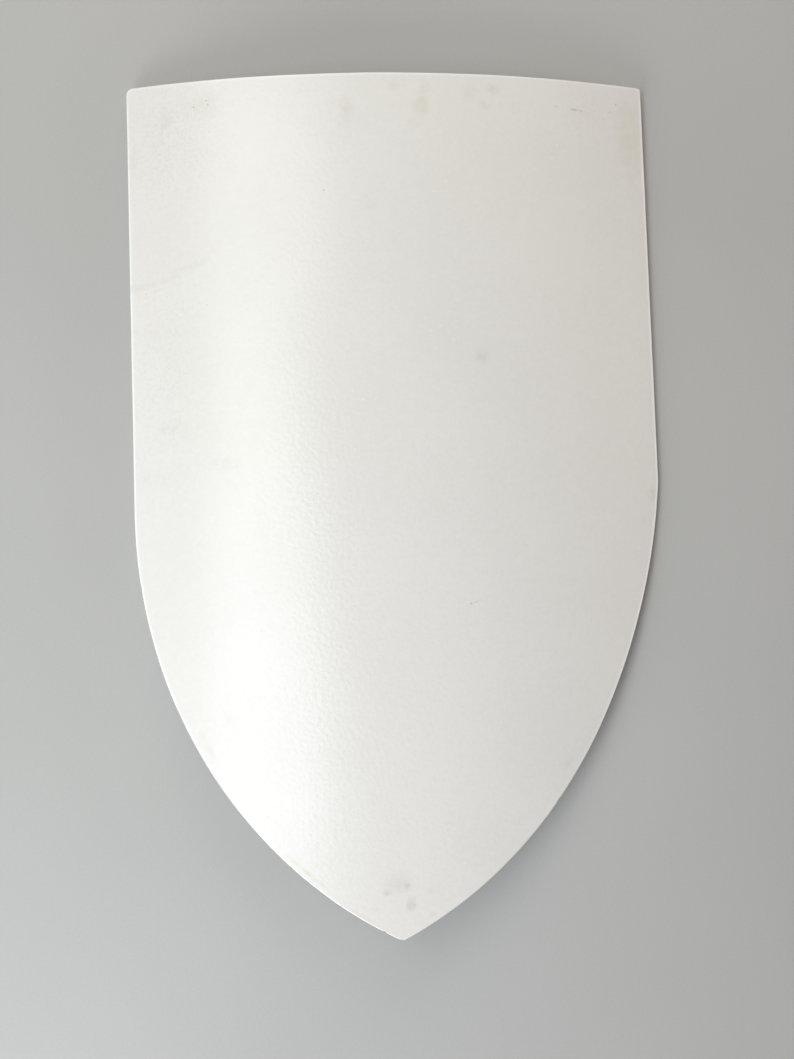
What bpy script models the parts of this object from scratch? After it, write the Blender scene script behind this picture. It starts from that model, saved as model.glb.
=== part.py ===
"""A blank heater shield: one board, cut to the heater outline and bent about its length.

The shield lies as it does when it is put down, hollow side under. X runs across it to its right
as seen from the front, Y runs up it from the point to the top edge, and Z comes out of its face.
The origin is on the ground, under the middle of its bounding box. Metres.

The outline is drawn flat, as the maker marks it on the sheet: s across and t up, with t = 0 at
the point and s = 0 on the line up from it. Bending turns s into an angle and leaves t alone.
"""
import math
from typing import NamedTuple

import bmesh
import bpy
from mathutils import Vector

# ---- the board ----
HEIGHT = 0.760          # from the point up to the line through the two top corners
THICKNESS = 0.008       # through the board
BEND_RADIUS = 0.783     # of the face; the back's is smaller by the thickness
CREST = 0.0028          # how far right of the point the crest of the bend runs: both sides reach the ground
TOP_DIP = 0.0076        # how far the top edge sinks below its corners, halfway along
ARRIS = 0.0008          # width of the sanded arris round the face and round the back


class Side(NamedTuple):
    """One side of the outline, from its top corner down to the point."""

    half_top: float         # from the line through the point out to the top corner
    half_shoulder: float    # from that line out to the shoulder, where the side starts to curve
    shoulder_height: float  # of the shoulder above the point
    shoulder_turn: float    # angle in from straight down at which the curve leaves the shoulder
    fullness: float         # how far the lower curve swells past its arc, halfway down
    sway: float             # how far it swells in its upper half and sinks in its lower
    corner: float           # length of top edge, and of side, that the rounded top corner takes


# the two sides were cut by hand and differ by a few millimetres
LEFT = Side(0.2435, 0.2371, 0.3718, math.radians(1.15), 0.0014, 0.0003, 0.0065)
RIGHT = Side(0.2427, 0.2492, 0.3903, math.radians(3.35), 0.0003, -0.0022, 0.0027)
POINT_ROUNDING = 0.0030  # length of each lower edge that the blunt point takes

# ---- how finely the curves are faceted ----
STRIP = 0.020           # width of the flat strips that stand for the bend
ROW = 0.060             # length of the pieces each strip is cut into
CURVE_STEPS = 44        # along each lower curve
TOP_STEPS = 24          # along the top edge
CORNER_STEPS = 5        # round each corner and round the point
SHARP_ANGLE = math.radians(20)  # facets that meet at less than this are shaded as one surface

# ---- white satin paint ----
PAINT_COLOUR = (0.79, 0.785, 0.76, 1.0)
PAINT_ROUGHNESS = 0.38


def lower_curve(side, mirror):
    """The outline from the shoulder down to the point: an arc through both, slightly swollen."""
    shoulder = Vector((side.half_shoulder, side.shoulder_height))
    inward = Vector((-math.cos(side.shoulder_turn), math.sin(side.shoulder_turn)))
    radius = -shoulder.length_squared / (2 * shoulder.dot(inward))
    centre = shoulder + radius * inward
    start = math.atan2(shoulder.y - centre.y, shoulder.x - centre.x)
    end = math.atan2(-centre.y, -centre.x)
    stop = 1 - POINT_ROUNDING / (radius * abs(end - start))
    points = []
    for i in range(CURVE_STEPS + 1):
        u = stop * i / CURVE_STEPS
        angle = start + (end - start) * u
        reach = radius + side.fullness * math.sin(math.pi * u) + side.sway * math.sin(2 * math.pi * u)
        point = centre + reach * Vector((math.cos(angle), math.sin(angle)))
        points.append(Vector((mirror * point.x, point.y)))
    return points


def eased(before, corner, after):
    """A rounded corner: a quadratic curve from before to after, pulled towards the corner."""
    points = []
    for i in range(1, CORNER_STEPS):
        u = i / CORNER_STEPS
        points.append(before.lerp(corner, u).lerp(corner.lerp(after, u), u))
    return points


def top_edge():
    """The top edge from its left corner to its right one, short of both roundings."""
    width = LEFT.half_top + RIGHT.half_top
    first = LEFT.corner / width
    last = 1 - RIGHT.corner / width
    points = []
    for i in range(TOP_STEPS + 1):
        u = first + (last - first) * i / TOP_STEPS
        points.append(Vector((u * width - LEFT.half_top, HEIGHT - 4 * TOP_DIP * u * (1 - u))))
    return points


def outline():
    """The whole outline, drawn flat, clockwise as seen from the front."""
    top = top_edge()
    left_curve = lower_curve(LEFT, -1)
    right_curve = lower_curve(RIGHT, 1)
    top_left = Vector((-LEFT.half_top, HEIGHT))
    top_right = Vector((RIGHT.half_top, HEIGHT))
    left_start = top_left + LEFT.corner * (left_curve[0] - top_left).normalized()
    right_start = top_right + RIGHT.corner * (right_curve[0] - top_right).normalized()
    return (
        top
        + eased(top[-1], top_right, right_start)
        + [right_start]
        + right_curve
        + eased(right_curve[-1], Vector((0, 0)), left_curve[-1])
        + list(reversed(left_curve))
        + [left_start]
        + eased(left_start, top_left, top[0])
    )


def cut_across(flat, axis, spacing, offset, low, high):
    """Cut the flat sheet along evenly spaced lines square to the axis."""
    normal = Vector((0, 0, 0))
    normal[axis] = 1
    place = offset + spacing * math.ceil((low - offset) / spacing)
    while place < high:
        geometry = flat.verts[:] + flat.edges[:] + flat.faces[:]
        bmesh.ops.bisect_plane(flat, geom=geometry, dist=1e-6, plane_co=normal * place, plane_no=normal)
        place += spacing


def flat_sheet():
    """The sheet cut to its outline, with the arris marked round it and the facet lines drawn."""
    flat = bmesh.new()
    corners = [flat.verts.new((p.x, p.y, 0)) for p in outline()]
    sheet = flat.faces.new(corners)
    sheet.normal_update()
    if sheet.normal.z < 0:
        sheet.normal_flip()
    bmesh.ops.inset_region(flat, faces=[sheet], thickness=ARRIS, use_boundary=True, use_even_offset=True)
    cut_across(flat, 0, STRIP, CREST + STRIP / 2, -LEFT.half_shoulder, RIGHT.half_shoulder)
    cut_across(flat, 1, ROW, 0, ROW / 2, HEIGHT - ROW / 2)
    return flat


def bent(s, t, depth):
    """Where a point of the flat sheet lands once the board is bent; depth is below the face."""
    angle = (s - CREST) / BEND_RADIUS
    radius = BEND_RADIUS - depth
    return (radius * math.sin(angle), t, radius * math.cos(angle))


def build_board():
    """The closed solid: face, back, and the edge between them, with both arrises."""
    flat = flat_sheet()
    board = bmesh.new()
    front, back = {}, {}
    for vert in flat.verts:
        sunk = ARRIS if vert.is_boundary else 0
        front[vert] = board.verts.new(bent(vert.co.x, vert.co.y, sunk))
        back[vert] = board.verts.new(bent(vert.co.x, vert.co.y, THICKNESS - sunk))
    for face in flat.faces:
        board.faces.new([front[v] for v in face.verts])
        board.faces.new([back[v] for v in reversed(face.verts)])
    for edge in flat.edges:
        if edge.is_boundary:
            loop = edge.link_loops[0]
            a, b = loop.vert, loop.link_loop_next.vert
            board.faces.new((front[b], front[a], back[a], back[b]))
    flat.free()
    bmesh.ops.triangulate(board, faces=board.faces)
    return board


def painted_white():
    material = bpy.data.materials.new("white_satin_paint")
    material.use_nodes = True
    shader = material.node_tree.nodes["Principled BSDF"]
    shader.inputs["Base Color"].default_value = PAINT_COLOUR
    shader.inputs["Roughness"].default_value = PAINT_ROUGHNESS
    shader.inputs["Metallic"].default_value = 0
    return material


def set_down(thing):
    """Stand the object on the ground with the middle of its bounding box over the origin."""
    corners = [Vector(corner) for corner in thing.bound_box]
    low = Vector([min(c[i] for c in corners) for i in range(3)])
    high = Vector([max(c[i] for c in corners) for i in range(3)])
    thing.location = (-(low.x + high.x) / 2, -(low.y + high.y) / 2, -low.z)


for thing in list(bpy.data.objects):
    bpy.data.objects.remove(thing)

board = build_board()
mesh = bpy.data.meshes.new("shield_board")
board.to_mesh(mesh)
board.free()
mesh.materials.append(painted_white())
mesh.shade_smooth()
mesh.set_sharp_from_angle(angle=SHARP_ANGLE)
shield = bpy.data.objects.new("shield_board", mesh)
bpy.context.scene.collection.objects.link(shield)
set_down(shield)
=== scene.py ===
"""A blank heater shield, painted white, lying on the floor with its hollow side down.

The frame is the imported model's: X across the shield to its right as seen from the front, Y up it
from the point to the top edge, Z out of its face. The origin is on the floor under its middle.
Metres. The sheet is drawn flat first, with s across and t up from the point, and then bent.
"""

import math
from typing import NamedTuple

import bpy
import numpy as np
from mathutils import Matrix, Vector, geometry, noise


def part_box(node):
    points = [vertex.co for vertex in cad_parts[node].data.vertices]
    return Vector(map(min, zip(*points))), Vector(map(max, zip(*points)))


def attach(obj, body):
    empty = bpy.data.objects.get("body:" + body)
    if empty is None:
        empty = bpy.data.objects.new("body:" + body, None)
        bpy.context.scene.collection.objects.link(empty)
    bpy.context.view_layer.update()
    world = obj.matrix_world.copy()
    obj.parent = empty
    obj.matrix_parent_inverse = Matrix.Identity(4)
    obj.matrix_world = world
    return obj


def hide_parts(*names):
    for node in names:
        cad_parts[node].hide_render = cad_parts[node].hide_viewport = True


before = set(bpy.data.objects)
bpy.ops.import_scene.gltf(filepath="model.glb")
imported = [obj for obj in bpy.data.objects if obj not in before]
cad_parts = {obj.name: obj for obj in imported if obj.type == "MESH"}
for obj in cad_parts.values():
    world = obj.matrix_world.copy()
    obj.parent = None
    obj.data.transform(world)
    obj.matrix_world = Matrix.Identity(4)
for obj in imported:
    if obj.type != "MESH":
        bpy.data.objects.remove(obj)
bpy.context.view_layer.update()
MM = 0.001


# ---- The board -----------------------------------------------------------------------------
# One sheet of plywood, glued up bent over a former and sawn to the heater outline by hand, so
# that its two sides differ a little. Its arrises are sanded round before it is painted.
HEIGHT = 760 * MM         # from the point up to the line through the two top corners
THICKNESS = 7.9 * MM      # through the board
BEND_RADIUS = 783 * MM    # of the face
CREST = 2.8 * MM          # how far right of the point the crest of the bend runs
TOP_DIP = 7.6 * MM        # how far the top edge sinks below its corners, halfway along
POINT_ROUNDING = 3 * MM   # length of each lower edge that the blunt point takes
ARRIS = 1.0 * MM          # radius of the sanded arrises
LAND = 0.4 * MM           # flat margin just inside an arris, so that its rounding starts crisply
GLUE_LINES = (2.7 * MM, 5.3 * MM)   # depths at which the three layers of ply meet
GLUE_GROOVE = 0.10 * MM   # how deep the paint sinks over a glue line
GROOVE_HALF = 0.25 * MM   # half its width
SAW_WANDER = 0.35 * MM    # how far the saw strays inside the line
WANDER_LENGTH = 45 * MM   # length of one stray
WANDER_SEED = 0.3
UNEVENNESS = 0.16 * MM    # how far the bent board is from a true cylinder
UNEVEN_PATCH = 170 * MM   # how far apart its swells are
UNEVEN_SEED = 4.0
EDGE_STEP = 2.5 * MM      # length of the facets round the outline
FACE_STEP = 4 * MM        # size of the facets of the face and of the back
FACE_CLEARANCE = 0.55     # how far they keep from the edge, as a share of their size
CORNER_STEPS = 6          # facets round each corner and round the point
ARRIS_STEPS = 5           # facets round an arris


class Side(NamedTuple):
    """One side of the outline, from its top corner down to the point."""

    half_top: float         # from the line through the point out to the top corner
    half_shoulder: float    # from that line out to the shoulder, where the side starts to curve
    shoulder_height: float  # of the shoulder above the point
    shoulder_turn: float    # angle in from straight down at which the curve leaves the shoulder
    fullness: float         # how far the lower curve swells past its arc, halfway down
    sway: float             # how far it swells in its upper half and sinks in its lower
    corner: float           # length of top edge, and of side, that the rounded top corner takes


LEFT = Side(0.2435, 0.2371, 0.3718, math.radians(1.15), 0.0014, 0.0003, 0.0065)
RIGHT = Side(0.2427, 0.2492, 0.3903, math.radians(3.35), 0.0003, -0.0022, 0.0027)


class Knock(NamedTuple):
    """A place where the edge has been knocked in. Metres."""

    across: float     # from the line up from the point
    up: float         # from the point
    reach: float      # how far round it the edge gives
    depth: float


KNOCKS = (
    Knock(-14.8 * MM, 7.6 * MM, 2.4 * MM, 0.55 * MM),
    Knock(-1.0 * MM, 0.4 * MM, 3.5 * MM, 0.50 * MM),
    Knock(-243.0 * MM, 760.0 * MM, 4.5 * MM, 0.45 * MM),
    Knock(242.0 * MM, 760.0 * MM, 4.0 * MM, 0.40 * MM),
    Knock(245.5 * MM, 371.0 * MM, 6.0 * MM, 0.35 * MM),
    Knock(-231.0 * MM, 300.0 * MM, 5.0 * MM, 0.30 * MM),
    Knock(139.0 * MM, 111.0 * MM, 4.0 * MM, 0.35 * MM),
    Knock(-92.0 * MM, 64.0 * MM, 5.0 * MM, 0.35 * MM),
)


def lower_curve(side, mirror):
    """The outline from the shoulder down to the point: an arc through both, slightly swollen."""
    shoulder = Vector((side.half_shoulder, side.shoulder_height))
    inward = Vector((-math.cos(side.shoulder_turn), math.sin(side.shoulder_turn)))
    radius = -shoulder.length_squared / (2 * shoulder.dot(inward))
    centre = shoulder + radius * inward
    start = math.atan2(shoulder.y - centre.y, shoulder.x - centre.x)
    end = math.atan2(-centre.y, -centre.x)
    length = radius * abs(end - start)
    stop = 1 - POINT_ROUNDING / length
    steps = round(length / EDGE_STEP)
    points = []
    for i in range(steps + 1):
        u = stop * i / steps
        angle = start + (end - start) * u
        reach = radius + side.fullness * math.sin(math.pi * u) + side.sway * math.sin(2 * math.pi * u)
        point = centre + reach * Vector((math.cos(angle), math.sin(angle)))
        points.append(Vector((mirror * point.x, point.y)))
    return points


def eased(before, corner, after):
    """A rounded corner: a quadratic curve from before to after, pulled towards the corner."""
    points = []
    for i in range(1, CORNER_STEPS):
        u = i / CORNER_STEPS
        points.append(before.lerp(corner, u).lerp(corner.lerp(after, u), u))
    return points


def straight(start, end):
    """Points between two ends, short of both."""
    steps = round((end - start).length / EDGE_STEP)
    return [start.lerp(end, i / steps) for i in range(1, steps)]


def top_edge():
    """The top edge from its left corner to its right one, short of both roundings."""
    width = LEFT.half_top + RIGHT.half_top
    first = LEFT.corner / width
    last = 1 - RIGHT.corner / width
    steps = round(width / EDGE_STEP)
    points = []
    for i in range(steps + 1):
        u = first + (last - first) * i / steps
        points.append(Vector((u * width - LEFT.half_top, HEIGHT - 4 * TOP_DIP * u * (1 - u))))
    return points


def outline():
    """The line that the maker draws on the sheet, clockwise as seen from the front."""
    top = top_edge()
    left_curve = lower_curve(LEFT, -1)
    right_curve = lower_curve(RIGHT, 1)
    top_left = Vector((-LEFT.half_top, HEIGHT))
    top_right = Vector((RIGHT.half_top, HEIGHT))
    left_start = top_left + LEFT.corner * (left_curve[0] - top_left).normalized()
    right_start = top_right + RIGHT.corner * (right_curve[0] - top_right).normalized()
    return (
        top
        + eased(top[-1], top_right, right_start)
        + [right_start]
        + straight(right_start, right_curve[0])
        + right_curve
        + eased(right_curve[-1], Vector((0, 0)), left_curve[-1])
        + list(reversed(left_curve))
        + straight(left_curve[0], left_start)
        + [left_start]
        + eased(left_start, top_left, top[0])
    )


def outward(points):
    """Which way is out at each point of a clockwise outline."""
    before = np.roll(points, 1, axis=0)
    after = np.roll(points, -1, axis=0)
    along = after - before
    along /= np.linalg.norm(along, axis=1)[:, None]
    return np.column_stack((-along[:, 1], along[:, 0]))


def sawn():
    """The outline as the saw left it: a little inside the line, with its knocks."""
    points = np.array([tuple(p) for p in outline()])
    out = outward(points)
    steps = np.linalg.norm(np.roll(points, -1, axis=0) - points, axis=1)
    length = steps.sum()
    walked = np.concatenate(([0], np.cumsum(steps)[:-1]))
    round_trip = length / (2 * math.pi * WANDER_LENGTH)
    inward = np.zeros(len(points))
    for i, way in enumerate(walked):
        turn = 2 * math.pi * way / length
        place = Vector((math.cos(turn), math.sin(turn), WANDER_SEED)) * round_trip
        inward[i] = SAW_WANDER * (0.5 + 0.5 * noise.noise(place))
        for knock in KNOCKS:
            away = math.hypot(points[i, 0] - knock.across, points[i, 1] - knock.up) / knock.reach
            if away < 1:
                inward[i] += knock.depth * (1 - away * away) ** 2
    return points - out * inward[:, None]


def edge_profile():
    """How the board's edge runs from its face to its back: (distance in, depth) pairs."""
    rounding = []
    for i in range(ARRIS_STEPS + 1):
        angle = math.pi / 2 * i / ARRIS_STEPS
        rounding.append((ARRIS * (1 - math.sin(angle)), ARRIS * (1 - math.cos(angle))))
    profile = [(ARRIS + LAND, 0.0)] + rounding
    for depth in GLUE_LINES:
        profile += [(0.0, depth - GROOVE_HALF), (GLUE_GROOVE, depth), (0.0, depth + GROOVE_HALF)]
    profile += [(inset, THICKNESS - depth) for inset, depth in reversed(rounding)]
    profile.append((ARRIS + LAND, THICKNESS))
    return profile


def away_from(places, ring):
    """The distance of each place from a closed ring of points."""
    ends = np.roll(ring, -1, axis=0)
    along = ends - ring
    offset = places[:, None, :] - ring[None, :, :]
    share = np.clip((offset * along).sum(2) / (along ** 2).sum(1), 0, 1)
    return np.sqrt(((offset - share[..., None] * along) ** 2).sum(2)).min(1)


def within(places, ring):
    """Whether each place is inside a closed ring of points."""
    ends = np.roll(ring, -1, axis=0)
    above = (ring[:, 1] > places[:, None, 1]) != (ends[:, 1] > places[:, None, 1])
    rise = np.where(ends[:, 1] == ring[:, 1], 1, ends[:, 1] - ring[:, 1])
    crossing = ring[:, 0] + (places[:, None, 1] - ring[:, 1]) / rise * (ends[:, 0] - ring[:, 0])
    return (above & (places[:, None, 0] < crossing)).sum(1) % 2 == 1


def gridded(ring):
    """Even rows of points inside a ring, clear of it, each with its distance from it."""
    low, high = ring.min(0), ring.max(0)
    across = np.arange(CREST + FACE_STEP * math.floor((low[0] - CREST) / FACE_STEP), high[0], FACE_STEP)
    rows = []
    for up in np.arange(low[1] + FACE_STEP, high[1], FACE_STEP):
        row = np.column_stack((across, np.full(len(across), up)))
        row = row[within(row, ring)]
        clear = away_from(row, ring)
        keep = clear > FACE_CLEARANCE * FACE_STEP
        rows.append(np.column_stack((row[keep], clear[keep])))
    return np.concatenate(rows)


def flat_board():
    """The board as a flat slab, face up at z = 0, with each point's distance from the edge."""
    line = sawn()
    out = outward(line)
    count = len(line)
    profile = edge_profile()
    points, from_edge = [], []
    for inset, depth in profile:
        for x, y in line - out * inset:
            points.append((x, y, -depth))
            from_edge.append(inset)
    face_ring = line - out * profile[0][0]
    inner = gridded(face_ring)
    flat = [Vector(p) for p in np.concatenate((face_ring, inner[:, :2]))]
    hems = [(i, (i + 1) % count) for i in range(count)]
    flat, _, triangles, from_point, *_ = geometry.delaunay_2d_cdt(flat, hems, [], 1, 1e-9)
    origin = [sources[0] for sources in from_point]
    faces = []
    face_start, back_start = len(points), len(points) + len(inner)
    for depth in (0.0, THICKNESS):
        for x, y, clear in inner:
            points.append((x, y, -depth))
            from_edge.append(profile[0][0] + clear)
    back_ring = (len(profile) - 1) * count

    def point_of(source, ring_start, grid_start):
        return ring_start + source if source < count else grid_start + source - count

    for triangle in triangles:
        corners = [origin[v] for v in triangle]
        a, b, c = (flat[v] for v in triangle)
        if (b - a).cross(c - a) < 0:
            corners.reverse()
        faces.append([point_of(v, 0, face_start) for v in corners])
        faces.append([point_of(v, back_ring, back_start) for v in reversed(corners)])
    for ring in range(len(profile) - 1):
        for i in range(count):
            j = (i + 1) % count
            upper, lower = ring * count, (ring + 1) * count
            faces.append((upper + i, upper + j, lower + j, lower + i))
    mesh = bpy.data.meshes.new("painted_board")
    mesh.from_pydata(points, [], faces)
    mesh.attributes.new("from_edge", "FLOAT", "POINT").data.foreach_set("value", from_edge)
    mesh.shade_smooth()
    return mesh


class Value:
    """One output of a node. An expression on these adds the Math nodes that it needs."""

    def __init__(self, wiring, socket):
        self.wiring = wiring
        self.socket = socket

    def maths(self, operation, *operands):
        return self.wiring.add("ShaderNodeMath", {"operation": operation}, dict(enumerate(operands)))

    def __add__(self, other):
        return self.maths("ADD", self, other)

    def __radd__(self, other):
        return self.maths("ADD", other, self)

    def __sub__(self, other):
        return self.maths("SUBTRACT", self, other)

    def __rsub__(self, other):
        return self.maths("SUBTRACT", other, self)

    def __mul__(self, other):
        return self.maths("MULTIPLY", self, other)

    def __rmul__(self, other):
        return self.maths("MULTIPLY", other, self)

    def __truediv__(self, other):
        return self.maths("DIVIDE", self, other)

    def __rtruediv__(self, other):
        return self.maths("DIVIDE", other, self)

    def sine(self):
        return self.maths("SINE", self)

    def cosine(self):
        return self.maths("COSINE", self)

    def rises(self, low, high, top=1.0):
        """0 below low, top above high, and smooth between them; it falls instead if low > high."""
        first, last, start, end = (low, high, 0.0, top) if low < high else (high, low, top, 0.0)
        settings = {"interpolation_type": "SMOOTHSTEP", "clamp": True}
        sockets = {0: self, 1: first, 2: last, 3: start, 4: end}
        return self.wiring.add("ShaderNodeMapRange", settings, sockets)


class Wiring:
    """A node tree that is being wired up."""

    def __init__(self, tree):
        self.tree = tree

    def add(self, kind, settings=None, sockets=None, output=0):
        """A new node: its settings first, then its sockets' values or links. Returns an output."""
        node = self.tree.nodes.new(kind)
        for name, setting in (settings or {}).items():
            setattr(node, name, setting)
        for key, given in (sockets or {}).items():
            self.give(node.inputs[key], given)
        return Value(self, node.outputs[output])

    def give(self, socket, given):
        """Links a Value to a socket, or sets the socket to anything else."""
        if isinstance(given, Value):
            self.tree.links.new(given.socket, socket)
        else:
            socket.default_value = given

    def parts(self, vector):
        """The three numbers that a vector holds."""
        node = self.add("ShaderNodeSeparateXYZ", {}, {0: vector}).socket.node
        return [Value(self, socket) for socket in node.outputs]

    def over(self, under, colour, amount):
        """One colour with another laid over it, as thickly as the amount says."""
        return self.add("ShaderNodeMix", {"data_type": "RGBA"}, {0: amount, 6: under, 7: colour}, 2)

    def clouds(self, place, size, detail=2.0, space="2D"):
        """Soft random patches about half this size across, 0 to 1."""
        sockets = {"Vector": place, "Scale": 1.0 / size, "Detail": detail, "Roughness": 0.5}
        return self.add("ShaderNodeTexNoise", {"noise_dimensions": space}, sockets)

    def drawn_out(self, place, across, up, seed=0.0):
        """The same place measured in these units each way, for a pattern that runs one way."""
        sockets = {"Vector": place, "Location": (seed, seed, 0), "Scale": (1 / across, 1 / up, 1)}
        return self.add("ShaderNodeMapping", {"vector_type": "POINT"}, sockets)


def bending_tree():
    """Geometry nodes that lay the flat board over its former: s becomes an angle, t is kept."""
    tree = bpy.data.node_groups.new("bend over a former", "GeometryNodeTree")
    tree.interface.new_socket("Board", in_out="INPUT", socket_type="NodeSocketGeometry")
    for name in ("Face Radius", "Crest", "Unevenness", "Patch Size", "Seed"):
        tree.interface.new_socket(name, in_out="INPUT", socket_type="NodeSocketFloat")
    tree.interface.new_socket("Paint", in_out="INPUT", socket_type="NodeSocketMaterial")
    tree.interface.new_socket("Board", in_out="OUTPUT", socket_type="NodeSocketGeometry")
    wiring = Wiring(tree)
    given = tree.nodes.new("NodeGroupInput").outputs
    radius, crest, unevenness, patch, seed = (Value(wiring, given[i]) for i in range(1, 6))

    flat = wiring.add("GeometryNodeInputPosition")
    marked = wiring.add(
        "GeometryNodeStoreNamedAttribute",
        {"data_type": "FLOAT_VECTOR", "domain": "POINT"},
        {"Geometry": Value(wiring, given["Board"]), "Name": "sheet", "Value": flat},
    )
    across, up, height = wiring.parts(flat)
    place = wiring.add("ShaderNodeCombineXYZ", {}, {0: across, 1: up, 2: 0.0})
    swell = wiring.add(
        "ShaderNodeTexNoise",
        {"noise_dimensions": "4D"},
        {"Vector": place, "W": seed, "Scale": 1.0 / patch, "Detail": 1.0, "Roughness": 0.4},
    )
    angle = (across - crest) / radius
    reach = radius + height + (swell - 0.5) * unevenness
    bent = wiring.add(
        "ShaderNodeCombineXYZ", {}, {0: reach * angle.sine(), 1: up, 2: reach * angle.cosine()}
    )
    moved = wiring.add("GeometryNodeSetPosition", {}, {"Geometry": marked, "Position": bent})
    real = wiring.add("GeometryNodeRealizeInstances", {}, {"Geometry": moved})
    painted = wiring.add(
        "GeometryNodeSetMaterial", {}, {"Geometry": real, "Material": Value(wiring, given["Paint"])}
    )
    tree.links.new(painted.socket, tree.nodes.new("NodeGroupOutput").inputs["Board"])
    return tree


def made_real(thing):
    """Turns what an object's modifiers make of it into its plain mesh."""
    shown = thing.evaluated_get(bpy.context.evaluated_depsgraph_get())
    thing.data = bpy.data.meshes.new_from_object(shown)
    thing.modifiers.clear()


def set_down(thing, low, high):
    """Moves a mesh so that it stands on the floor, its box centred over that of the corners."""
    points = np.empty(len(thing.data.vertices) * 3, np.float32)
    thing.data.vertices.foreach_get("co", points)
    points = points.reshape(-1, 3)
    shift = (np.array(low) + np.array(high)) / 2 - (points.min(0) + points.max(0)) / 2
    shift[2] = low[2] - points[:, 2].min()
    thing.data.vertices.foreach_set("co", (points + shift).astype(np.float32).ravel())
    thing.data.update()


class Mark(NamedTuple):
    """A worn or dirty place in the paint: an oval with ragged sides. Millimetres and degrees."""

    across: float     # of its middle, from the line up from the point
    up: float         # of its middle, from the point
    width: float
    height: float
    turn: float       # anticlockwise
    strength: float   # how thickly its colour lies in its middle


# rubbed grey, where the board has been held or has leant on something
RUBS = (
    Mark(-203, 726, 20, 28, 10, 0.32),
    Mark(-186, 727, 20, 20, -20, 0.12),
    Mark(-165, 733, 46, 32, 0, 0.24),
    Mark(-36.5, 721, 18, 26, 0, 0.56),
    Mark(-39, 708, 22, 18, 0, 0.24),
    Mark(31, 726, 16, 34, 4, 0.25),
    Mark(24, 708, 22, 16, 0, 0.26),
    Mark(9, 742, 22, 20, 0, 0.12),
    Mark(74, 735, 24, 24, 0, 0.30),
    Mark(86, 725, 16, 14, 20, 0.36),
    Mark(95, 740, 22, 18, 15, 0.60),
    Mark(154.5, 730, 7, 5, -15, 0.40),
    Mark(188, 725, 16, 8, -30, 0.22),
    Mark(-15, 633, 17, 17, 0, 0.20),
    Mark(79, 499.5, 20, 20, 0, 0.62),
    Mark(-219, 530, 66, 14, -5, 0.14),
    Mark(-200, 443, 38, 18, 5, 0.30),
    Mark(-222, 399, 60, 20, -4, 0.18),
    Mark(-147, 409, 38, 22, 0, 0.30),
    Mark(242, 378, 14, 20, 0, 0.70),
    Mark(231, 354, 12, 14, 0, 0.40),
    Mark(148, 141, 20, 11, 50, 0.36),
    Mark(-4, 48, 34, 26, 0, 0.38),
    Mark(-12.5, 40.9, 12, 9, 10, 0.98),
    Mark(4.7, 45.9, 11, 14, 20, 0.98),
    Mark(7.9, 30.8, 12, 16, -8, 1.68),
    Mark(26, 21.5, 12, 8, 30, 0.40),
)
# grimy in fine spots, where it is taken hold of
GRIME = (
    Mark(-200, 704, 190, 220, 0, 0.32),
    Mark(-206, 500, 130, 380, 0, 0.24),
    Mark(196, 728, 120, 70, 0, 0.20),
)
# yellowed, where something has dried on the paint
STAINS = (
    Mark(-204, 721, 26, 40, 10, 0.28),
    Mark(-222, 724, 14, 12, 0, 0.24),
    Mark(-212, 698, 12, 13, 0, 0.26),
    Mark(-165, 731, 54, 34, 0, 0.22),
    Mark(-237, 694, 14, 44, 0, 0.26),
    Mark(-36, 721, 22, 26, 0, 0.20),
    Mark(33, 737, 14, 24, 0, 0.62),
    Mark(30, 722, 24, 26, 0, 0.66),
    Mark(5, 741, 20, 18, 0, 0.26),
    Mark(229, 712, 44, 100, 3, 0.48),
    Mark(4, 604, 25, 32, 0, 0.16),
    Mark(-147.5, 187, 17, 15, 0, 0.34),
    Mark(-82, 59.5, 60, 6, -39, 0.80),
    Mark(-36, 23, 70, 5, -31, 0.40),
    Mark(-167, 163, 44, 9, -61, 0.40),
    Mark(-4, 49, 32, 26, 0, 0.22),
    Mark(-22, 28, 14, 9, 0, 0.20),
    Mark(24, 42, 10, 12, 0, 0.20),
)
# dark specks of dirt
SPECKS = (
    Mark(-175.3, 732.1, 2.9, 2.4, 0, 1.0),
    Mark(-163.3, 736.6, 2.6, 2.2, 0, 0.9),
    Mark(-161.6, 732.6, 2.6, 2.4, 0, 0.8),
    Mark(154.5, 730, 2.4, 1.9, 0, 0.45),
    Mark(215, 739.9, 2.5, 2.2, 0, 0.8),
    Mark(208, 731.6, 4.6, 2.2, 20, 0.5),
    Mark(-57.1, 647.5, 2.3, 2.0, 0, 0.9),
    Mark(-78.3, 584.3, 1.9, 1.5, 0, 0.6),
    Mark(-36.8, 283.3, 1.8, 1.6, 0, 0.7),
    Mark(55, 195, 1.6, 1.5, 0, 0.5),
    Mark(-117, 263, 1.8, 1.5, 0, 0.6),
    Mark(-113.5, 105, 1.9, 1.6, 0, 0.6),
    Mark(-164.2, 551.2, 1.7, 1.6, 0, 0.7),
    Mark(-223.5, 566.5, 2.4, 1.8, 0, 0.6),
    Mark(-214.5, 567.5, 2.2, 1.8, 0, 0.6),
)
# short scratches, and two long faint ones
SCRATCHES = (
    Mark(171.1, 728.7, 10, 4.2, -2, 0.95),
    Mark(179, 728.6, 17, 2.5, -3, 0.50),
    Mark(69, 284.6, 13, 2.0, 14, 0.42),
    Mark(82, 289.4, 9, 1.8, 17, 0.30),
    Mark(64.6, 283.2, 3.6, 3.0, 0, 0.60),
    Mark(144, 703, 100, 3.2, 12, 0.16),
    Mark(-104.5, 205.5, 26, 1.6, -29, 0.16),
)
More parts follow.
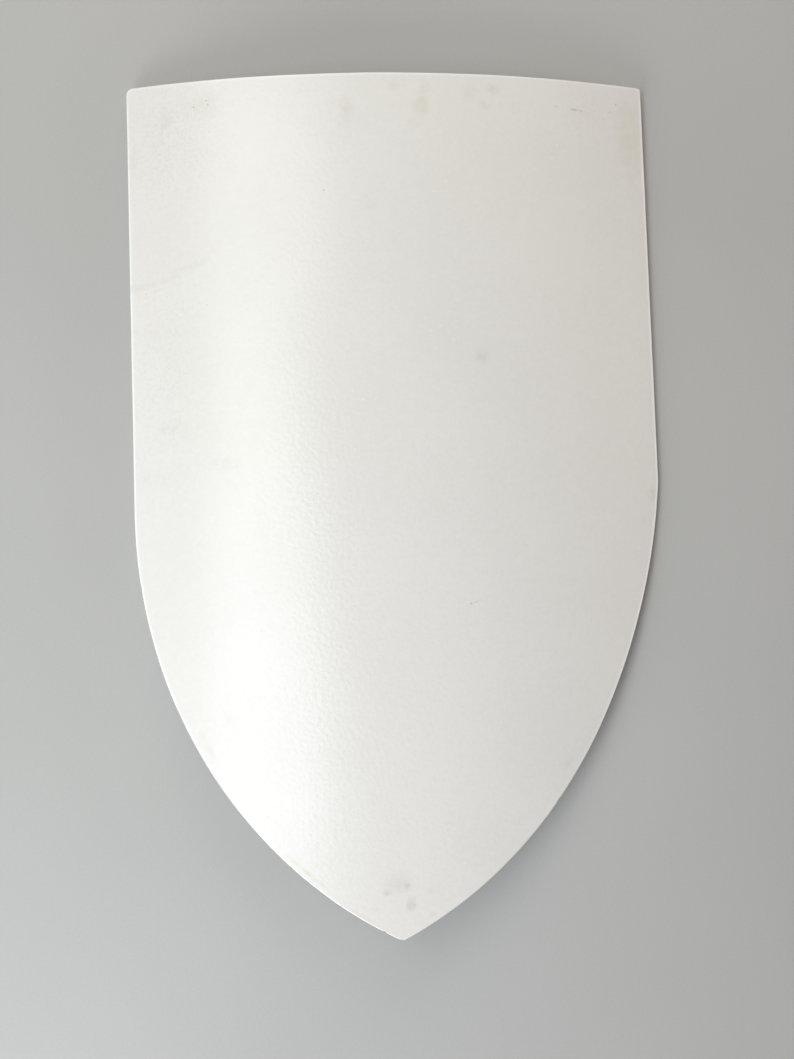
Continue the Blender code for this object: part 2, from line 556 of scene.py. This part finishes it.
# down to the wood: a nick by the point, the point itself and the two corners
CHIPS = (
    Mark(-15, 7.8, 6.5, 4.0, -35, 1.0),
    Mark(-1, 0.4, 7.0, 3.0, 0, 0.8),
    Mark(-243.2, 759.6, 6.0, 3.2, 40, 0.6),
    Mark(242.3, 759.6, 5.5, 3.2, -40, 0.6),
)
# a dried-out damp patch that runs off the left side
DAMP = Mark(-262, 688, 340, 240, 0, 0.26)
DAMP_RIM = 0.08               # width of its darker rim, as a share of the way out to it
DAMP_MIDDLE = 0.25            # how dark it is inside the rim, as a share of the rim
DAMP_RAGGED = (0.10, 0.06)    # how far the clouds and the mottle pull its outline about
DAMP_END = -168 * MM          # how far across it has spread
DAMP_FADE = 16 * MM           # how far to either side of there it fades

WHITE = (0.800, 0.785, 0.755, 1)           # the paint
THIN_AND_SHADED_WHITE = (0.780, 0.764, 0.733, 1)      # where it is thinner, and in the stipple's hollows as painted shade
BEAD_HIGHLIGHT_WHITE = (0.930, 0.920, 0.900, 1)      # where it has gathered along the arrises; its extra whiteness is a painted highlight along the edge
EDGE_WHITE = (0.790, 0.765, 0.720, 1)      # sunk into the sawn edge
BACK_WHITE = (0.745, 0.720, 0.675, 1)      # one thin coat
RUB_GREY = (0.660, 0.643, 0.610, 1)
STAIN_YELLOW = (0.700, 0.688, 0.570, 1)
SPECK_DARK = (0.500, 0.485, 0.460, 1)
SCRATCH_GREY = (0.560, 0.550, 0.530, 1)
WOOD = (0.500, 0.370, 0.240, 1)

CLOUD_SIZE = 90 * MM      # of the broad patches where the paint is thinner
MOTTLE_SIZE = 9 * MM      # of the small ones
RAGGED_SIZE = 5 * MM      # of the bits that marks are broken up into
SPOT_SIZE = 3.1 * MM      # of the spots of grime
SUNK_SIZE = 1.5 * MM      # of the spots where paint has sunk into the sawn edge
GRAIN = (110 * MM, 3.2 * MM)      # length and width of the wood's grain, which runs across
LAPS = (160 * MM, 9 * MM)         # length and width of the laps that the roller left
LAP_SEED = 7.0
STIPPLE_SIZE = 4.0 * MM   # spacing of the roller's stipple
BEAD_WIDTH = 3.2 * MM     # of the gathered paint and of its painted highlight
BEAD_ENDS = (60 * MM, 280 * MM)   # how far up it fades out, towards the point, and is full again
BEAD_TOP = (738 * MM, 752 * MM)   # how far up it starts to thin, towards the top edge, and has thinned
NIB_SPACING = 32 * MM     # of the specks of dust that dried into the paint
NIB_SIZE = 0.55 * MM      # radius of a large one

GLOSS = 0.25              # roughness of the clean paint
GLOSS_DRIFT = 0.05        # how much it varies over the broad patches
SHEEN = 0.06              # how much rougher the bumps of the stipple are than its hollows
BACK_DULLER = 0.14        # how much rougher the thin coat on the back is
EDGE_DULLER = 0.12        # and the paint on the sawn edge
WOOD_DULLER = 0.35        # and bare wood

STIPPLE = 0.150 * MM      # from the deepest hollow to the highest bump
LAP_HEIGHT = 0.020 * MM
NIB_HEIGHT = 0.03 * MM
BEAD_HEIGHT = 0.20 * MM
GRAIN_HEIGHT = 0.05 * MM  # on the back, through the thin coat
EDGE_TOOTH = 0.10 * MM    # how rough the saw left the edge
CHIP_DEPTH = 0.25 * MM


def within_mark(wiring, place, mark):
    """The place as the mark sees it: 0 in its middle, 1 away from there at its side."""
    sockets = {
        "Vector": place,
        "Location": (mark.across * MM, mark.up * MM, 0),
        "Rotation": (0, 0, math.radians(mark.turn)),
        "Scale": (mark.width / 2 * MM, mark.height / 2 * MM, 1),
    }
    return wiring.add("ShaderNodeMapping", {"vector_type": "TEXTURE"}, sockets)


def faded(wiring, place, marks):
    """Each mark at its full strength in its middle, fading out evenly to its side."""
    total = 0.0
    for mark in marks:
        seen = {"Vector": within_mark(wiring, place, mark)}
        cone = wiring.add("ShaderNodeTexGradient", {"gradient_type": "SPHERICAL"}, seen, "Fac")
        total = cone.rises(0, 1, mark.strength) + total
    return total


def white_satin_paint():
    """White paint: rolled on the face, thin on the back, stained, rubbed, and nicked to the wood."""
    material = bpy.data.materials.new("white_satin_paint")
    material.use_nodes = True
    shader = material.node_tree.nodes["Principled BSDF"]
    wiring = Wiring(material.node_tree)
    sheet = wiring.add("ShaderNodeAttribute", {"attribute_name": "sheet"}, {}, "Vector")
    from_edge = wiring.add("ShaderNodeAttribute", {"attribute_name": "from_edge"}, {}, "Fac")
    across, up, height = wiring.parts(sheet)
    front = height.rises(-0.6 * THICKNESS, -0.3 * THICKNESS)   # 1 on the face, 0 on the back
    side = from_edge.rises(0.5 * ARRIS, 0.1 * ARRIS)           # 1 on the sawn edge

    # the clean paint: on the face, on the back, in the bead with its painted highlight, and on the edge
    cloud = wiring.clouds(sheet, CLOUD_SIZE)
    mottle = wiring.clouds(sheet, MOTTLE_SIZE)
    ragged = wiring.clouds(sheet, RAGGED_SIZE, 3.0)
    grain = wiring.clouds(wiring.drawn_out(sheet, *GRAIN), 1.0)
    laps = wiring.clouds(wiring.drawn_out(sheet, *LAPS, LAP_SEED), 1.0, 1.0)
    sunk = wiring.clouds(sheet, SUNK_SIZE, 2.0, "3D")
    stipple = wiring.clouds(sheet, STIPPLE_SIZE, 2.0)
    # it is thinner in broad patches and in small ones, and darker in the hollows of the stipple as
    # painted shade
    thin_and_hollow_shade = cloud * 0.4 + mottle * 0.25 + (1 - stipple) * 0.35
    colour = wiring.over(WHITE, THIN_AND_SHADED_WHITE, thin_and_hollow_shade.rises(0.38, 0.62))
    wood_shows = grain.rises(0.50, 0.80) * 0.30 + laps.rises(0.35, 0.75) * 0.08
    back = wiring.over(BACK_WHITE, WOOD, wood_shows)
    colour = wiring.over(back, colour, front)
    # the bead: paint gathered just inside the arrises, raised a little, and lighter there as a painted
    # highlight along the edge
    bead_and_highlight = from_edge.rises(BEAD_WIDTH, 0.3 * BEAD_WIDTH) * front
    bead_and_highlight = bead_and_highlight * up.rises(*BEAD_ENDS) * (1 - up.rises(*BEAD_TOP, 0.5))
    colour = wiring.over(colour, BEAD_HIGHLIGHT_WHITE, bead_and_highlight)
    colour = wiring.over(colour, EDGE_WHITE, side * sunk.rises(0.35, 0.60))

    # a damp patch with a rim on its lower side
    seen = {0: within_mark(wiring, sheet, DAMP)}
    out = wiring.add("ShaderNodeVectorMath", {"operation": "LENGTH"}, seen, "Value")
    out = out + (cloud - 0.5) * DAMP_RAGGED[0] + (mottle - 0.5) * DAMP_RAGGED[1]
    rim = out.rises(1 - DAMP_RIM, 1 - 0.2 * DAMP_RIM) * out.rises(1 + 0.2 * DAMP_RIM, 1.0)
    rim = rim * (mottle.rises(0.35, 0.60) * 0.8 + 0.3)
    damp = (out.rises(1.0, 0.9) * DAMP_MIDDLE + rim) * DAMP.strength
    damp = damp * across.rises(DAMP_END + DAMP_FADE, DAMP_END - DAMP_FADE)

    # rubs, stains, specks and scratches on the face, and chips that reach part of the way down the edge
    blotches = ragged.rises(0.34, 0.66) * 0.7 + 0.4
    spots = wiring.clouds(sheet, SPOT_SIZE, 2.0).rises(0.44, 0.70)
    rubs = faded(wiring, sheet, RUBS) * blotches + faded(wiring, sheet, GRIME) * spots
    rubs = (rubs + damp) * front
    stains = faded(wiring, sheet, STAINS) * (mottle.rises(0.3, 0.7) * 0.8 + 0.5) * front
    specks = faded(wiring, sheet, SPECKS).rises(0.1, 0.6) * front
    skips = ragged.rises(0.30, 0.50) * 0.7 + 0.3
    scratches = faded(wiring, sheet, SCRATCHES).rises(0.0, 0.8) * skips * front
    reach = (height / THICKNESS + (sunk - 0.5) * 0.9).rises(-0.62, -0.48)
    chips = (faded(wiring, sheet, CHIPS) + (ragged - 0.5) * 0.9).rises(0.25, 0.45) * reach

    # dust that dried into the paint
    cells = {"Vector": sheet, "Scale": 1 / NIB_SPACING}
    dust = wiring.add("ShaderNodeTexVoronoi", {"voronoi_dimensions": "2D"}, cells, "Distance")
    chosen = wiring.parts(Value(wiring, dust.socket.node.outputs["Color"]))[0]
    nib = dust.rises(NIB_SIZE / NIB_SPACING, 0.4 * NIB_SIZE / NIB_SPACING) * chosen.rises(0.45, 0.75)

    # what lies on the clean paint, from the bottom up
    colour = wiring.over(colour, STAIN_YELLOW, stains)
    colour = wiring.over(colour, RUB_GREY, rubs)
    colour = wiring.over(colour, RUB_GREY, nib * 0.5)
    colour = wiring.over(colour, SPECK_DARK, specks)
    colour = wiring.over(colour, SCRATCH_GREY, scratches)
    colour = wiring.over(colour, WOOD, chips)
    wiring.give(shader.inputs["Base Color"], colour)

    rough = GLOSS + (cloud - 0.5) * GLOSS_DRIFT + (stipple - 0.5) * SHEEN
    rough = rough + (1 - front) * BACK_DULLER + side * EDGE_DULLER + chips * WOOD_DULLER
    wiring.give(shader.inputs["Roughness"], rough)

    # how far each of them stands out of the surface or sinks into it
    relief = stipple * STIPPLE + laps * LAP_HEIGHT + nib * NIB_HEIGHT + bead_and_highlight * BEAD_HEIGHT
    relief = relief + (1 - front) * grain * GRAIN_HEIGHT + side * sunk * EDGE_TOOTH - chips * CHIP_DEPTH
    heights = {"Strength": 1.0, "Distance": 1.0, "Height": relief}
    wiring.give(shader.inputs["Normal"], wiring.add("ShaderNodeBump", {}, heights, "Normal"))
    return material


board_mesh = flat_board()
board = bpy.data.objects.new("painted_board", board_mesh)
bpy.context.scene.collection.objects.link(board)
bend = board.modifiers.new("bend", "NODES")
bend.node_group = bending_tree()
inputs = {
    "Face Radius": BEND_RADIUS,
    "Crest": CREST,
    "Unevenness": UNEVENNESS,
    "Patch Size": UNEVEN_PATCH,
    "Seed": UNEVEN_SEED,
    "Paint": white_satin_paint(),
}
for item in bend.node_group.interface.items_tree:
    if item.in_out == "INPUT" and item.name in inputs:
        bend[item.identifier] = inputs[item.name]
made_real(board)
set_down(board, *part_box("shield_board"))
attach(board, "root")
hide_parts("shield_board")


# ---- The floor -----------------------------------------------------------------------------
# A plain pale floor, far larger than the shield, on which it lies. It is brushed with matt floor
# paint, which is faintly clouded and has a fine tooth.
FLOOR_HALF = 12.0         # from its middle to each side
FLOOR_PALE = (0.48, 0.48, 0.47, 1)
FLOOR_DULL = (0.44, 0.44, 0.43, 1)
FLOOR_ROUGHNESS = 0.8
FLOOR_CLOUD = 700 * MM    # how far apart its clouds are
FLOOR_TOOTH = 2.2 * MM    # size of its grains
FLOOR_RELIEF = 0.03 * MM  # their height


def matt_floor():
    """Pale floor paint, a little uneven."""
    material = bpy.data.materials.new("pale_floor")
    material.use_nodes = True
    shader = material.node_tree.nodes["Principled BSDF"]
    wiring = Wiring(material.node_tree)
    place = wiring.add("ShaderNodeTexCoord", {}, {}, "Object")
    cloud = wiring.clouds(place, FLOOR_CLOUD, 3.0)
    tooth = wiring.clouds(place, FLOOR_TOOTH, 2.0)
    dull = cloud.rises(0.3, 0.7) * 0.7 + tooth.rises(0.3, 0.7) * 0.3
    wiring.give(shader.inputs["Base Color"], wiring.over(FLOOR_PALE, FLOOR_DULL, dull))
    relief = {"Strength": 1.0, "Distance": 1.0, "Height": tooth * FLOOR_RELIEF}
    wiring.give(shader.inputs["Normal"], wiring.add("ShaderNodeBump", {}, relief, "Normal"))
    shader.inputs["Roughness"].default_value = FLOOR_ROUGHNESS
    return material


floor_mesh = bpy.data.meshes.new("floor")
floor_corners = [(x * FLOOR_HALF, y * FLOOR_HALF, 0) for x, y in ((-1, -1), (1, -1), (1, 1), (-1, 1))]
floor_mesh.from_pydata(floor_corners, [], [(0, 1, 2, 3)])
floor = bpy.data.objects.new("floor", floor_mesh)
bpy.context.scene.collection.objects.link(floor)
floor_mesh.materials.append(matt_floor())


# ---- The light -----------------------------------------------------------------------------
# A tall soft window on the left, in three panes that brighten towards the shield's point, a long
# dim panel on the right with a low strip under it, fills beyond the point and beyond the top, and an
# even light all round.
class Softbox(NamedTuple):
    """A rectangular area light over the floor."""

    name: str
    place: tuple
    aim: float        # how far up the shield it points
    width: float      # across the shield
    height: float     # along the shield
    strength: float   # how bright its face is
    tint: tuple


SOFTBOXES = (
    Softbox("window_low", (-0.83, -0.43, 1.60), -0.09, 0.74, 1.27, 4.67, (0.91, 0.96, 1.00)),
    Softbox("window_middle", (-0.87, 0.40, 1.58), 0.08, 0.58, 0.39, 4.43, (0.86, 1.00, 0.76)),
    Softbox("window_high", (-0.82, 1.04, 1.60), 0.21, 0.77, 0.88, 2.88, (0.94, 0.99, 1.00)),
    Softbox("panel_on_right", (1.59, 0.00, 1.03), 0.00, 0.60, 1.60, 0.60, (1.00, 0.82, 0.76)),
    Softbox("low_on_right", (1.86, -0.36, 0.30), 0.00, 0.30, 1.20, 5.80, (1.00, 0.97, 0.95)),
    Softbox("fill_by_point", (-1.02, -1.58, 0.52), 0.00, 1.30, 0.90, 10.43, (0.94, 0.95, 1.00)),
    Softbox("fill_by_top", (0.20, 1.95, 0.92), 0.00, 1.80, 1.30, 2.97, (1.00, 0.85, 0.78)),
)
AIM_HEIGHT = 0.04         # all of them point at the crest of the bend
SURROUND = 0.07           # how bright the room is all round


def hang(box):
    """An area light whose face is as bright as the box's strength, with its long side level."""
    light = bpy.data.lights.new(box.name, "AREA")
    light.shape = "RECTANGLE"
    light.size = box.width
    light.size_y = box.height
    light.energy = box.strength * box.width * box.height * math.pi
    light.color = box.tint
    lamp = bpy.data.objects.new(box.name, light)
    place = Vector(box.place)
    back = (place - Vector((0, box.aim, AIM_HEIGHT))).normalized()
    side = Vector((0, 1, 0)).cross(back).normalized()
    lamp.location = place
    lamp.rotation_euler = Matrix((side, back.cross(side), back)).transposed().to_euler()
    bpy.context.scene.collection.objects.link(lamp)


for softbox in SOFTBOXES:
    hang(softbox)
surround = bpy.data.worlds.new("surround")
surround.use_nodes = True
surround.node_tree.nodes["Background"].inputs["Color"].default_value = (1, 1, 1, 1)
surround.node_tree.nodes["Background"].inputs["Strength"].default_value = SURROUND
bpy.context.scene.world = surround


# ---- The camera ----------------------------------------------------------------------------
# It looks almost straight down on the face from two thirds of a metre, from a little towards the
# point and the left side.
CAMERA_LENS = 27.04       # in millimetres, for a sensor of the width below
CAMERA_SENSOR = 36
CAMERA_PLACE = (-0.0247, -0.0594, 0.7301)
CAMERA_TURN = (2.326, -1.902, -1.070)   # degrees about X, Y and Z, from straight down

camera_data = bpy.data.cameras.new("camera")
camera_data.lens = CAMERA_LENS
camera_data.sensor_width = CAMERA_SENSOR
camera = bpy.data.objects.new("camera", camera_data)
camera.location = CAMERA_PLACE
camera.rotation_euler = [math.radians(turn) for turn in CAMERA_TURN]
bpy.context.scene.collection.objects.link(camera)
bpy.context.scene.camera = camera
bpy.context.scene.view_settings.view_transform = "Standard"
